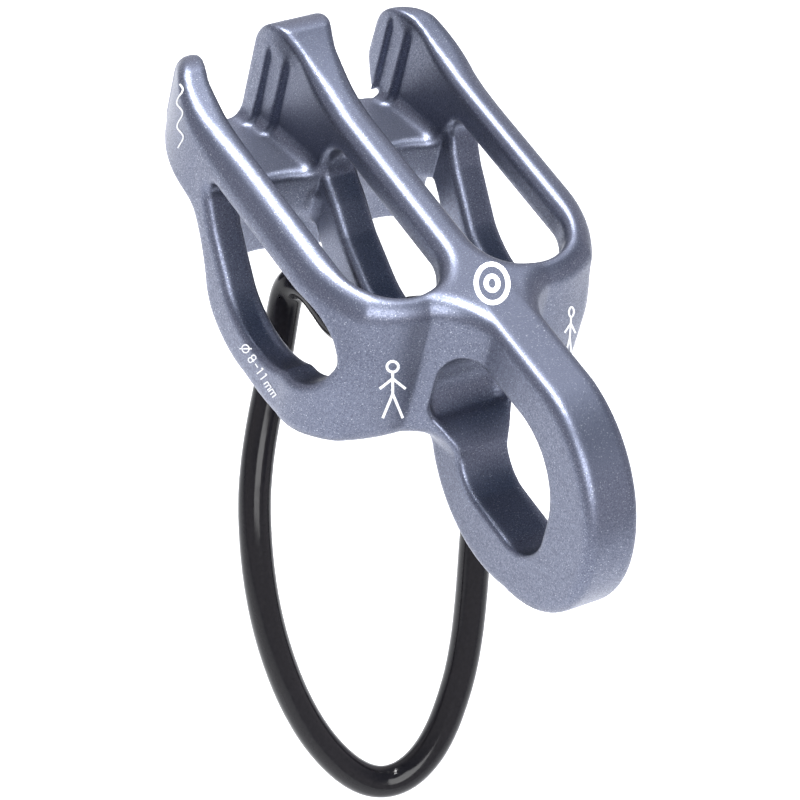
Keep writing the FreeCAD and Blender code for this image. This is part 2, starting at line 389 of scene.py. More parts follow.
@dataclass(frozen=True)
class PaleBoard:
    """The plain pale floor, with a barely visible tooth."""

    shade: Colour = (0.93, 0.93, 0.935, 1.0)
    tooth: Colour = (0.95, 0.95, 0.95, 1.0)

    def material(self) -> bpy.types.Material:
        """Make the finish.

        Returns:
            The material.
        """
        bench = Bench("pale_board")
        tooth = bench.noise(bench.place(), 2.0, 2.0)
        bench.set(base_color=bench.blend(tooth, self.shade, self.tooth), roughness=0.9)
        return bench.material


# ------------------------------------------------------------------ outlines and fields
@dataclass(frozen=True)
class Outline:
    """A closed chain: a start point, then per side an end, or an arc's middle and end."""

    start: Point2
    sides: Sides

    def corners(self, step: float = 0.35) -> np.ndarray:
        """The chain as a polygon.

        Args:
            step: longest side of an arc's polygon.

        Returns:
            Corners, one a row, with the first one repeated at the end.
        """
        points = [np.array(self.start, float)]
        for side in self.sides:
            end = np.array(side[-1], float)
            if len(side) == 2:
                points += self._arc(points[-1], np.array(side[0], float), end, step)
            points.append(end)
        return np.array(points)

    @staticmethod
    def _arc(start: np.ndarray, middle: np.ndarray, end: np.ndarray,
             step: float) -> List[np.ndarray]:
        """Points inside the arc through three points.

        Args:
            start: where the arc begins.
            middle: a point on it.
            end: where it ends.
            step: longest side of its polygon.

        Returns:
            The points between its ends.
        """
        a, b = 2 * (middle - start), 2 * (end - start)
        squares = np.array([middle @ middle - start @ start, end @ end - start @ start])
        centre = np.linalg.solve(np.array([a, b]), squares)
        spokes = [complex(*(p - centre)) for p in (start, middle, end)]
        halves = [np.angle(spokes[1] / spokes[0]), np.angle(spokes[2] / spokes[1])]
        radius = abs(spokes[0])
        count = max(2, math.ceil(abs(sum(halves)) * radius / step))
        turns = [spokes[0] * np.exp(1j * sum(halves) * i / count) for i in range(1, count)]
        return [centre + (turn.real, turn.imag) for turn in turns]

    def distance(self, u: np.ndarray, v: np.ndarray) -> np.ndarray:
        """Distance to the chain, negative inside it.

        Args:
            u: first coordinates, of any shape that broadcasts with v.
            v: second coordinates.

        Returns:
            The signed distances.
        """
        u, v = np.broadcast_arrays(u, v)
        nearest = np.full(u.shape, np.inf)
        inside = np.zeros(u.shape, bool)
        ring = self.corners()
        for (ua, va), (ub, vb) in zip(ring[:-1], ring[1:]):
            du, dv = ub - ua, vb - va
            length = du * du + dv * dv
            if length < 1e-12:
                continue
            share = np.clip(((u - ua) * du + (v - va) * dv) / length, 0.0, 1.0)
            nearest = np.minimum(nearest, (u - ua - share * du) ** 2
                                 + (v - va - share * dv) ** 2)
            if dv:
                crosses = (va > v) != (vb > v)
                inside ^= crosses & (u < ua + (v - va) * du / dv)
        return np.where(inside, -1.0, 1.0) * np.sqrt(nearest)


def keep(a: np.ndarray, b: np.ndarray, radius: Field) -> np.ndarray:
    """What two solids share, with their common edge rounded.

    Args:
        a: signed distance of one solid.
        b: signed distance of the other.
        radius: radius of the rounded edge.

    Returns:
        The signed distance of the shared solid.
    """
    return (np.minimum(np.maximum(a, b), -radius)
            + np.hypot(np.maximum(a + radius, 0), np.maximum(b + radius, 0)))


def join(a: np.ndarray, b: np.ndarray, radius: Field) -> np.ndarray:
    """Two solids as one, with a hollow fillet where they meet.

    Args:
        a: signed distance of one solid.
        b: signed distance of the other.
        radius: radius of the fillet.

    Returns:
        The signed distance of the joined solid.
    """
    return -keep(-a, -b, radius)


def ease(value: np.ndarray, low: float, high: float) -> np.ndarray:
    """A smooth step from 0 at low to 1 at high."""
    share = np.clip((value - low) / (high - low), 0.0, 1.0)
    return share * share * (3 - 2 * share)


def between(first: Field, second: Field, share: np.ndarray) -> np.ndarray:
    """A value that passes from first, at share 0, to second, at share 1."""
    return first + (second - first) * share


@dataclass
class Grid:
    """A box of evenly spaced sample points."""

    low: Point3
    high: Point3
    step: float
    x: np.ndarray = field(init=False)
    y: np.ndarray = field(init=False)
    z: np.ndarray = field(init=False)

    def __post_init__(self) -> None:
        """Lay out the three axes so that they broadcast against each other."""
        axes = [np.arange(a, b + self.step, self.step)
                for a, b in zip(self.low, self.high)]
        self.x = axes[0][:, None, None]
        self.y = axes[1][None, :, None]
        self.z = axes[2][None, None, :]

    def skin(self, values: np.ndarray) -> Tuple[np.ndarray, np.ndarray]:
        """The zero surface of a sampled field as a net of quads.

        Args:
            values: signed distances at the grid's points.

        Returns:
            Vertices in the grid's units, and quads of vertex numbers.
        """
        inside = values < 0
        offsets = list(itertools.product((0, 1), repeat=3))
        cells = tuple(n - 1 for n in values.shape)

        def shifted(array: np.ndarray, offset: Tuple[int, ...]) -> np.ndarray:
            """The array's part that lies one corner of each cell away."""
            return array[tuple(slice(o, o + n) for o, n in zip(offset, cells))]

        count = sum(shifted(inside, o).astype(np.int8) for o in offsets)
        live = (count > 0) & (count < 8)
        number = np.full(cells, -1, np.int64)
        number[live] = np.arange(live.sum())
        corner_values = np.stack([shifted(values, o)[live] for o in offsets], 1)
        places = np.zeros((int(live.sum()), 3))
        hits = np.zeros(len(places))
        for i, j in itertools.combinations(range(8), 2):
            way = np.subtract(offsets[j], offsets[i])
            if np.abs(way).sum() != 1:
                continue
            a, b = corner_values[:, i], corner_values[:, j]
            cut = (a < 0) != (b < 0)
            share = np.where(cut, a / np.where(cut, a - b, 1.0), 0.0)
            places[cut] += np.array(offsets[i]) + share[cut, None] * way
            hits += cut
        places = (places / hits[:, None] + np.argwhere(live)) * self.step + self.low
        quads = [self._faces(inside, number, axis) for axis in range(3)]
        return places, np.concatenate(quads)

    @staticmethod
    def _faces(inside: np.ndarray, number: np.ndarray, axis: int) -> np.ndarray:
        """The quads that cross the grid's edges along one axis.

        Args:
            inside: whether each sample lies in the solid.
            number: the vertex of each cell, or -1.
            axis: 0, 1 or 2.

        Returns:
            Quads of vertex numbers, wound to face outwards.
        """
        ahead = [slice(None)] * 3
        behind = [slice(None)] * 3
        ahead[axis], behind[axis] = slice(1, None), slice(None, -1)
        first, second = inside[tuple(behind)], inside[tuple(ahead)]
        u, v = [a for a in range(3) if a != axis]
        edges = np.argwhere(first != second)
        safe = (edges[:, u] > 0) & (edges[:, v] > 0)
        for other in (u, v):
            safe &= edges[:, other] < inside.shape[other] - 1
        edges = edges[safe]
        leaving = first[tuple(edges.T)]
        loop = []
        for du, dv in ((0, 0), (1, 0), (1, 1), (0, 1)):
            cell = edges.copy()
            cell[:, u] -= du
            cell[:, v] -= dv
            loop.append(number[tuple(cell.T)])
        quads = np.stack(loop, 1)
        turned = leaving if axis != 1 else ~leaving
        quads[~turned] = quads[~turned][:, ::-1]
        return quads

    def read(self, values: np.ndarray, points: np.ndarray) -> np.ndarray:
        """Field values between the samples.

        Args:
            values: the sampled field.
            points: places, one a row.

        Returns:
            The value at each place.
        """
        spot = (points - self.low) / self.step
        base = np.clip(np.floor(spot).astype(int), 0, np.array(values.shape) - 2)
        share = spot - base
        total = np.zeros(len(points))
        for offset in itertools.product((0, 1), repeat=3):
            weight = np.prod(np.where(offset, share, 1 - share), 1)
            total += weight * values[tuple((base + offset).T)]
        return total


def mesh_object(name: str, points: np.ndarray, faces: Sequence[Sequence[int]],
                smooth: bool = True) -> bpy.types.Object:
    """A mesh object from points in millimetres.

    Args:
        name: the piece's name.
        points: vertices, one a row.
        faces: vertex numbers of each face.
        smooth: whether its faces are shaded smooth.

    Returns:
        The object, linked to the scene.
    """
    mesh = bpy.data.meshes.new(name)
    mesh.from_pydata((np.asarray(points) * MILLIMETRE).tolist(), [],
                     [list(map(int, face)) for face in faces])
    mesh.polygons.foreach_set("use_smooth", [smooth] * len(mesh.polygons))
    mesh.update()
    made = bpy.data.objects.new(name, mesh)
    bpy.context.scene.collection.objects.link(made)
    return made


def dress(piece: bpy.types.Object, finish: bpy.types.Material,
          body: Body) -> None:
    """Give a piece its finish and the body it rides on.

    Args:
        piece: the piece.
        finish: its material.
        body: the body it rides on.
    """
    piece.data.materials.clear()
    piece.data.materials.append(finish)
    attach(piece, body.value)
    log.info("%s: %s, rides on %s", piece.name, finish.name, body.value)


# ------------------------------------------------------------------ forged body
@dataclass
class ForgedBody:
    """The one-piece forging: two rails and a web, joined by shoulder, groove floor and eye."""

    pitch: float = 18.6
    outer_wall: float = 5.0
    web: float = 5.6
    eye_half: float = 3.9
    sample: float = 0.385
    slot_back: float = 47.4
    slot_back_middle: float = 49.0
    slot_front: float = 15.5
    slot_front_arc: float = 22.2
    tooth_fronts: Tuple[float, ...] = (58.8, 62.0)
    tooth_step: float = 0.75
    groove_fillet: float = 1.8
    floor_edge: float = 1.1
    window_edge: float = 1.2
    outer_window_from: float = 12.0
    web_window_to: float = 7.0
    hole_edge: float = 0.7
    hole_half: float = 6.4
    hole_pocket: float = 2.4
    ring_edge: float = 1.5
    ring_rear: float = 14.0
    ring_fillet: float = 2.5
    crest_edges: Point2 = (3.4, 1.3)
    keel_edges: Point2 = (2.3, 7.3)
    rim_edges: Point2 = (2.1, 1.6)
    crest_smoothing: float = 2.0
    lug_half: float = 2.8
    lip_half: float = 16.3
    release: Point2 = (54.5, -3.5)
    release_radius: float = 3.2
    pivot: Point2 = (31.0, -5.8)
    bore_radius: float = 2.06
    bore_half: float = 9.0
    side_profile: Outline = Outline((2.0, 16.8), (
        ((46.5, 16.8),), ((54.0, 18.2), (60.3, 20.5)), ((64.3, 18.8), (65.8, 14.5)),
        ((65.8, 4.5),), ((64.9, 1.8), (62.3, 0.6)), ((52.0, 0.1),),
        ((47.4, -2.0), (44.0, -5.2)), ((38.5, -8.6), (31.0, -9.5)),
        ((24.0, -9.2), (16.5, -7.3)), ((10.0, -5.4),), ((2.0, -3.0),), ((2.0, 16.8),)))
    wall_profile: Outline = Outline((2.0, 16.8), (
        ((46.5, 16.8),), ((53.5, 17.5), (59.0, 18.9)), ((63.2, 17.6), (65.4, 13.5)),
        ((65.8, 6.0),), ((64.9, 3.4), (62.3, 2.4)), ((52.0, 1.4),),
        ((47.8, -0.6), (44.0, -4.6)), ((38.5, -8.4), (31.0, -9.5)),
        ((24.0, -9.2), (16.5, -7.3)), ((10.0, -5.4),), ((2.0, -3.0),), ((2.0, 16.8),)))
    upper_shoulder: Sides = (
        ((5.0, 8.8), (9.0, 12.2)), ((13.4, 12.9), (17.2, 14.8)), ((20.1, 20.1), (21.1, 26.0)))
    lower_shoulder: Sides = (
        ((5.0, 8.6), (9.0, 11.8)), ((13.4, 12.3), (17.4, 13.6)), ((20.4, 17.2), (21.1, 23.0)))
    eye_outline: Outline = Outline((16.0, 16.8), (
        ((-5.0, 17.0),), ((-15.9, 12.2), (-21.5, -1.0)), ((-17.8, -10.8), (-8.5, -15.9)),
        ((3.0, -16.2), (11.9, -9.6)), ((16.0, -4.6),), ((16.0, 16.8),)))
    eye_hole: Outline = Outline((13.4, 2.0), (
        ((11.6, 7.6), (5.5, 10.0)), ((-1.5, 10.0),), ((-8.7, 7.7), (-12.1, 1.2)),
        ((-12.3, -2.4),), ((-10.5, -7.1), (-5.5, -9.0)), ((1.0, -9.0),),
        ((4.2, -7.7), (6.2, -5.2)), ((8.2, -3.5), (10.8, -2.6)),
        ((12.8, -0.7), (13.4, 2.0))))
    outer_window: Outline = Outline((44.0, 11.8), (
        ((22.5, 11.9),), ((18.2, 10.2), (16.1, 6.6)), ((17.0, 3.4), (23.4, -0.8)),
        ((31.2, -3.0), (38.0, -0.6)), ((43.7, 4.9),), ((46.3, 8.4),),
        ((46.2, 11.0), (44.0, 11.8))))
    web_window: Outline = Outline((44.6, 12.6), (
        ((22.0, 12.6),), ((18.0, 10.6), (16.4, 6.8)), ((17.4, 3.4), (23.6, -0.2)),
        ((29.6, -2.0), (35.0, -0.6)), ((39.9, 1.8),), ((43.6, 4.6),),
        ((46.6, 6.4),), ((47.2, 9.8), (44.6, 12.6))))
    lip: Outline = Outline((52.5, 3.0), (
        ((47.9, 3.0),), ((47.9, -6.4),), ((48.2, -7.4), (49.2, -7.7)), ((50.2, -7.0),),
        ((50.7, 0.6),), ((52.5, 3.0),)))
    lug: Outline = Outline((46.8, 3.2), (
        ((46.8, 1.2),), ((48.8, -5.0),), ((54.5, -8.7), (60.2, -5.0)), ((62.0, 1.2),),
        ((62.0, 3.2),), ((46.8, 3.2),)))
    groove_floor: Outline = Outline((45.0, 32.0), (
        ((45.0, 6.6),), ((50.0, 6.4),), ((72.0, 0.9),), ((72.0, 32.0),), ((45.0, 32.0),)))

    def plan(self, shoulder: Sides) -> Outline:
        """The body seen from above, right of X = -9; it runs on past its rear end.

        Args:
            shoulder: the sides from the neck to the flank.

        Returns:
            The outline.
        """
        half = self.pitch + self.outer_wall / 2
        return Outline((-9.0, 3.0), (((self.eye_half, 3.0),),) + shoulder + (
            ((half, 50.0),), ((half - 0.8, 57.5), (half - 3.3, 62.6)),
            ((half - 4.4, 64.5), (half - 6.2, 65.8)), ((half - 6.2, 75.0),),
            ((-9.0, 75.0),), ((-9.0, 3.0),)))

    def slot(self) -> Outline:
        """The right rope slot seen from above.

        Returns:
            The outline.
        """
        low = self.web / 2
        high = self.pitch - self.outer_wall / 2
        middle = (low + high) / 2
        return Outline((low, self.slot_back), (
            ((low, self.slot_front_arc),),
            ((middle, self.slot_front), (high, self.slot_front_arc)),
            ((high, self.slot_back),),
            ((middle, self.slot_back_middle), (low, self.slot_back))))

    def field(self, grid: Grid) -> np.ndarray:
        """The body's signed distance at a grid's points.

        Args:
            grid: where it is sampled.

        Returns:
            The distances in millimetres.
        """
        x, y, z = np.abs(grid.x), grid.y, grid.z
        solid = self._blank(x, y, z)
        solid = self._with_hole(solid, x, y, z)
        solid = self._with_slots(solid, x, y, z)
        solid = self._with_windows(solid, x, y, z)
        return self._with_lug(solid, x, y, z)

    def _blank(self, x: np.ndarray, y: np.ndarray, z: np.ndarray) -> np.ndarray:
        """Body and anchor ring: seen from above, cut to the side view, edges rounded.

        Args:
            x: distance from the web's middle plane.
            y: place along the body.
            z: height.

        Returns:
            The solid's signed distance.
        """
        crest = between(*self.crest_edges, ease(y, 42.0, 62.0))
        keel = between(*self.keel_edges, ease(y, 40.0, 53.0))
        edge = between(keel, crest, ease(z, 4.0, 9.0))
        edge = between(self.ring_edge, edge, ease(y, 3.0, 18.0))
        above = between(self.plan(self.lower_shoulder).distance(x, y),
                        self.plan(self.upper_shoulder).distance(x, y), ease(z, 4.0, 15.0))
        beside = between(self.side_profile.distance(y, z),
                         self.wall_profile.distance(y, z), ease(x, 9.0, 13.0))
        body = keep(above, beside, edge)
        ring = keep(np.maximum(x - self.eye_half, y - self.ring_rear),
                    self.eye_outline.distance(y, z), self.ring_edge)
        fillet = between(SHARP + self.ring_fillet, SHARP, ease(z, -3.0, 3.0))
        return join(body, ring, fillet)

    def _with_hole(self, solid: np.ndarray, x: np.ndarray, y: np.ndarray,
                   z: np.ndarray) -> np.ndarray:
        """Cut the anchor hole through ring and neck, ending in a hollow pocket each side."""
        hole = keep(self.eye_hole.distance(y, z), x - self.hole_half, self.hole_pocket)
        return keep(solid, -hole, self.hole_edge)

    def _with_slots(self, solid: np.ndarray, x: np.ndarray, y: np.ndarray,
                    z: np.ndarray) -> np.ndarray:
        """Add the lip, then cut the rope slots and, behind them, the stepped grooves.

        Args:
            solid: signed distance so far.
            x: distance from the web's middle plane.
            y: place along the body.
            z: height.

        Returns:
            The new signed distance.
        """
        low, high = self.web / 2, self.pitch - self.outer_wall / 2
        middle, half = (low + high) / 2, (high - low) / 2
        teeth = sum(ease(y, front - 0.05, front + 0.4) for front in self.tooth_fronts)
        smooth = self.crest_smoothing * ease(y, 56.5, 63.5)
        steps = between(teeth, smooth, ease(z, 14.5, 18.0))
        sides = np.abs(x - middle) - (half - self.tooth_step * steps)
        groove = keep(self.groove_floor.distance(y, z), sides, self.groove_fillet)
        edge = between(SHARP + self.floor_edge, SHARP, ease(z, 8.0, 10.0))
        opening = join(self.slot().distance(x, y), groove, edge)
        rim = between(*self.rim_edges, ease(x, 4.0, 8.0)) * (1.0 - 0.65 * ease(y, 50.0, 59.0))
        solid = join(solid, keep(self.lip.distance(y, z), x - self.lip_half, 1.0), 0.6)
        return keep(solid, -opening, rim)

    def _with_windows(self, solid: np.ndarray, x: np.ndarray, y: np.ndarray,
                      z: np.ndarray) -> np.ndarray:
        """Cut a window in each outer wall and one in the web.

        Args:
            solid: signed distance so far.
            x: distance from the web's middle plane.
            y: place along the body.
            z: height.

        Returns:
            The new signed distance.
        """
        outer = np.maximum(self.outer_window.distance(y, z), self.outer_window_from - x)
        solid = keep(solid, -outer, self.window_edge)
        web = np.maximum(self.web_window.distance(y, z), x - self.web_window_to)
        return keep(solid, -web, self.window_edge)

    def _with_lug(self, solid: np.ndarray, x: np.ndarray, y: np.ndarray,
                  z: np.ndarray) -> np.ndarray:
        """Add the release lug, then bore its eye and the keeper's cross bore.

        Args:
            solid: signed distance so far.
            x: distance from the web's middle plane.
            y: place along the body.
            z: height.

        Returns:
            The new signed distance.
        """
        lug = keep(self.lug.distance(y, z), x - self.lug_half, 1.0)
        solid = join(solid, lug, 1.5)
        for (cy, cz), radius, edge in ((self.release, self.release_radius, 0.8),
                                       (self.pivot, self.bore_radius, 0.3)):
            bore = np.maximum(np.hypot(y - cy, z - cz) - radius, x - self.bore_half)
            solid = keep(solid, -bore, edge)
        return solid

    def build(self) -> BVHTree:
        """Skin the body's field with an even net and settle it on the true surface.

        Returns:
            The skin as a tree that marks can be laid on, in millimetres.
        """
        step = self.sample * 1.0
        low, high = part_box("forged_body")
        grid = Grid(tuple(v / MILLIMETRE - 3 * step for v in low),
                    tuple(v / MILLIMETRE + 3 * step for v in high), step)
        values = self.field(grid)
        points, quads = grid.skin(values)
        points = self._settle(grid, values, points)
        points = np.clip(points, np.array(low) / MILLIMETRE, np.array(high) / MILLIMETRE)
        body = mesh_object("forged_body_skin", points, quads)
        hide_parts("forged_body")
        dress(body, BlastedAnodising().material(), Body.DEVICE)
        log.info("forged body skin: %d quads", len(quads))
        return BVHTree.FromPolygons(points.tolist(), quads.tolist())

    @staticmethod
    def _settle(grid: Grid, values: np.ndarray, points: np.ndarray) -> np.ndarray:
        """Move the net's points along the field's slope onto its zero surface.

        Args:
            grid: the samples' places.
            values: the sampled field.
            points: the net's points, one a row.

        Returns:
            The moved points.
        """
        reach = 0.5 * grid.step
        for _ in range(3):
            here = grid.read(values, points)
            slope = np.stack([grid.read(values, points + np.eye(3)[i] * reach)
                              - grid.read(values, points - np.eye(3)[i] * reach)
                              for i in range(3)], 1) / (2 * reach)
            square = np.maximum((slope ** 2).sum(1), 0.25)
            points = points - np.clip(here / square, -reach, reach)[:, None] * slope
        return points


# ------------------------------------------------------------------ surface marks
def ring_stroke(centre: Point2, radius: float, count: int = 20) -> List[Point2]:
    """A stroke around a circle.

    Args:
        centre: its centre.
        radius: its radius.
        count: how many straight runs stand for it.

    Returns:
        The stroke's points.
    """
    turns = [2 * math.pi * i / count for i in range(count + 1)]
    return [(centre[0] + radius * math.cos(t), centre[1] + radius * math.sin(t))
            for t in turns]


def figure_strokes() -> List[List[Point2]]:
    """A plain standing figure: round head, straight trunk, arms and legs held apart.

    Returns:
        The strokes, about seven units high.
    """
    strokes = [ring_stroke((0.0, 2.9), 0.62), [(0.0, 2.2), (0.0, -0.3)]]
    for side in (-1.0, 1.0):
        strokes += [[(0.0, 1.5), (1.4 * side, 0.3)], [(0.0, -0.3), (1.1 * side, -3.2)]]
    return strokes


def size_strokes() -> List[List[Point2]]:
    """The rope sizes that fit, in plain strokes: a bore sign, 8 - 11 mm.

    Returns:
        The strokes, one unit high.
    """
    eight = ring_stroke((1.75, 0.74), 0.26) + ring_stroke((1.75, 0.26), 0.26)
    strokes = [ring_stroke((0.5, 0.5), 0.42), [(0.1, -0.1), (0.9, 1.1)], eight,
               [(2.35, 0.5), (2.85, 0.5)]]
    for left in (3.3, 4.0):
        strokes.append([(left - 0.2, 0.8), (left, 1.0), (left, 0.0)])
    for left in (4.6, 5.5):
        strokes.append([(left, 0.0), (left, 0.55), (left + 0.35, 0.55),
                        (left + 0.35, 0.0)])
        strokes.append([(left + 0.35, 0.55), (left + 0.7, 0.55), (left + 0.7, 0.0)])
    return strokes


@dataclass(frozen=True)
class SurfaceMark:
    """Thin strokes thrown onto the forging along one direction."""

    name: str
    strokes: Sides
    place: Point3
    across: Point3
    up: Point3
    aim: Point3
    width: float = 0.34
    lift: float = 0.03
    step: float = 0.22
    stand_off: float = 8.0
    reach: float = 40.0

    def _lay(self, skin: BVHTree, spot: np.ndarray) -> Optional[Vector]:
        """Where a spot of the drawing lands on the skin, lifted off it a little.

        Args:
            skin: the forging's surface, in millimetres.
            spot: the spot in the drawing.

        Returns:
            The place, or nothing where the skin isn't met.
        """
        start = (np.array(self.place) + spot[0] * np.array(self.across)
                 + spot[1] * np.array(self.up) - self.stand_off * np.array(self.aim))
        hit, normal, _, _ = skin.ray_cast(Vector(start), Vector(self.aim), self.reach)
        if hit is None:
            return None
        if normal.dot(Vector(self.aim)) > 0:
            normal = -normal
        return hit + normal * self.lift

    def build(self, skin: BVHTree, finish: bpy.types.Material) -> None:
        """Lay every stroke as a narrow band of quads.

        Args:
            skin: the forging's surface, in millimetres.
            finish: the mark's material.
        """
        points: List[Vector] = []
        faces: List[List[int]] = []
        for stroke in self.strokes:
            line = self._even(np.array(stroke, float))
            ahead = np.gradient(line, axis=0)
            ahead /= np.linalg.norm(ahead, axis=1)[:, None]
            side = np.stack([-ahead[:, 1], ahead[:, 0]], 1) * self.width / 2
            previous: Optional[int] = None
            for left, right in zip(line + side, line - side):
                pair = [self._lay(skin, left), self._lay(skin, right)]
                if None in pair:
                    previous = None
                    continue
                points += pair
                if previous is not None:
                    faces.append([previous, previous + 1, len(points) - 1,
                                  len(points) - 2])
                previous = len(points) - 2
        made = mesh_object(self.name, np.array([tuple(p) for p in points]), faces)
        dress(made, finish, Body.DEVICE)

    def _even(self, line: np.ndarray) -> np.ndarray:
        """The same line with a point at every step along it.

        Args:
            line: points in the drawing, one a row.

        Returns:
            The evenly spaced points.
        """
        runs = np.concatenate([[0], np.cumsum(np.linalg.norm(np.diff(line, axis=0),
                                                             axis=1))])
        count = max(2, math.ceil(runs[-1] / self.step)) + 1
        marks = np.linspace(0, runs[-1], count)
        return np.stack([np.interp(marks, runs, line[:, i]) for i in (0, 1)], 1)


def scaled(strokes: Sequence[Sequence[Point2]], wide: float, tall: float,
           turn: float = 0.0) -> Sides:
    """Strokes made wider or taller, then turned about their origin.

    Args:
        strokes: the drawing.
        wide: how many times wider.
        tall: how many times taller.
        turn: the turn in degrees.

    Returns:
        The new drawing.
    """
    c, s = math.cos(math.radians(turn)), math.sin(math.radians(turn))
    return tuple(tuple((c * x * wide - s * y * tall, s * x * wide + c * y * tall)
                       for x, y in stroke) for stroke in strokes)


def lay_marks(skin: BVHTree) -> None:
    """Lay the pale marks: a double ring, two figures, the rope sizes and an even wave.

    Args:
        skin: the forging's surface, in millimetres.
    """
    right, up, ahead = (0.841, -0.507, 0.188), (0.249, 0.673, 0.696), (0.479, 0.539, -0.693)
    finish = LaserMark().material()
    emblem = [ring_stroke((0.0, 0.0), 2.0), ring_stroke((0.0, 0.0), 0.75)]
    wave = [[(0.45 * math.sin(math.pi * i / 6), 4.0 - i / 4) for i in range(33)]]
    drawings = (
        ("mark_emblem", scaled(emblem, 1.0, 1.25), (-0.1, 12.9, 17.4), 0.62),
        ("mark_left_figure", scaled(figure_strokes(), 1.15, 1.05), (-14.3, 9.6, 6.5),
         0.34),
        ("mark_right_figure", scaled(figure_strokes(), 0.55, 1.0), (16.2, 13.7, 2.0),
         0.26),
        ("mark_rope_sizes", scaled(size_strokes(), 1.25, 1.15, -56.0),
         (-24.4, 29.0, -0.5), 0.17),
        ("mark_wave", scaled(wave, 1.0, 1.0), (-20.7, 55.8, 14.8), 0.22))
    for name, strokes, place, width in drawings:
        SurfaceMark(name, strokes, place, right, up, ahead, width).build(skin, finish)


